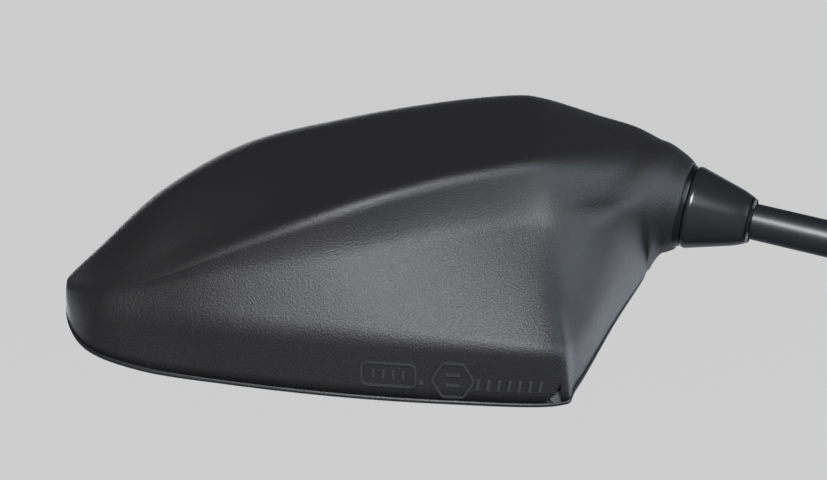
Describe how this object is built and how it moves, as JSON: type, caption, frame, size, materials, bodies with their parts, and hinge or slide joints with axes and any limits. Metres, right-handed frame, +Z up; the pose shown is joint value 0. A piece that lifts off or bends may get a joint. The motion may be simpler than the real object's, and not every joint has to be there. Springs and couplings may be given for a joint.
{
  "type": "motorcycle rear-view mirror",
  "caption": "Rear-view mirror with a long pointed ridged housing on a ball joint behind a flared cone, carried by a bent rod with a threaded stud.",
  "frame": {"origin": "on the stud's axis at the face the washer seats on", "axes": "+Z up the rod, +X outboard (rider's right), +Y forward; the glass faces -Y"},
  "size_m": [0.2942, 0.0495, 0.1841],
  "materials": {
    "shell_plastic": "fine grain",
    "bezel_plastic": "satin",
    "mirror": "polished",
    "soft_seal": "matt",
    "foam": "matt foam",
    "carrier_plastic": "satin",
    "plated_steel": "zinc plated",
    "cast_weight": "as cast",
    "nylon": "natural",
    "ring_plastic": "satin",
    "cone_plastic": "gloss",
    "black_paint": "gloss",
    "boot_rubber": "matt"
  },
  "bodies": {
    "arm": {"arm_rod": "black_paint", "shank_pin": "plated_steel", "ball_stud": "plated_steel", "cone_cover": "cone_plastic", "hex_collar": "black_paint", "threaded_stud": "plated_steel"},
    "boot": {"base_boot": "boot_rubber"},
    "washer": {"lock_washer": "plated_steel"},
    "nut": {"lock_nut": "plated_steel"},
    "seat_rear": {"seat_liner_rear": "nylon"},
    "seat_front": {"seat_liner_front": "nylon"},
    "head": {"back_shell": "shell_plastic", "front_bezel": "bezel_plastic", "mirror_glass": "mirror", "glass_seal": "soft_seal", "foam_pad": "foam", "glass_carrier": "carrier_plastic", "carrier_screws": "plated_steel", "damper_weight": "cast_weight", "damper_screws": "plated_steel", "socket_bracket": "plated_steel", "bracket_screws": "plated_steel", "clamp_ring": "plated_steel", "clamp_screws": "plated_steel", "neck_ring": "ring_plastic"}
  },
  "joints": [
    {"name": "head_turn", "type": "hinge", "parent": "arm", "child": "seat_rear", "pos_m": [0.105, 0, 0.1232], "axis": [0.9304, 0, 0.3665], "continuous": true},
    {"name": "head_swing", "type": "hinge", "parent": "seat_rear", "child": "seat_front", "pos_m": [0.105, 0, 0.1232], "axis": [-0.3665, 0, 0.9304], "range_deg": [-10, 10]},
    {"name": "head_tilt", "type": "hinge", "parent": "seat_front", "child": "head", "pos_m": [0.105, 0, 0.1232], "axis": [0, 1, 0], "range_deg": [-10, 10]},
    {"name": "boot_slide", "type": "slide", "parent": "arm", "child": "boot", "axis": [0, 0, 1], "range_m": [0, 0.022]},
    {"name": "nut_back_off", "type": "slide", "parent": "arm", "child": "washer", "axis": [0, 0, 1], "range_m": [0, 0.00125]},
    {"name": "nut_turn", "type": "hinge", "parent": "washer", "child": "nut", "pos_m": [0, 0, 0.0046], "axis": [0, 0, 1], "range_deg": [0, 361]}
  ],
  "couplings": [
    {"joint": "nut_turn", "follows": "nut_back_off", "rad_per_m": 5026.5}
  ]
}
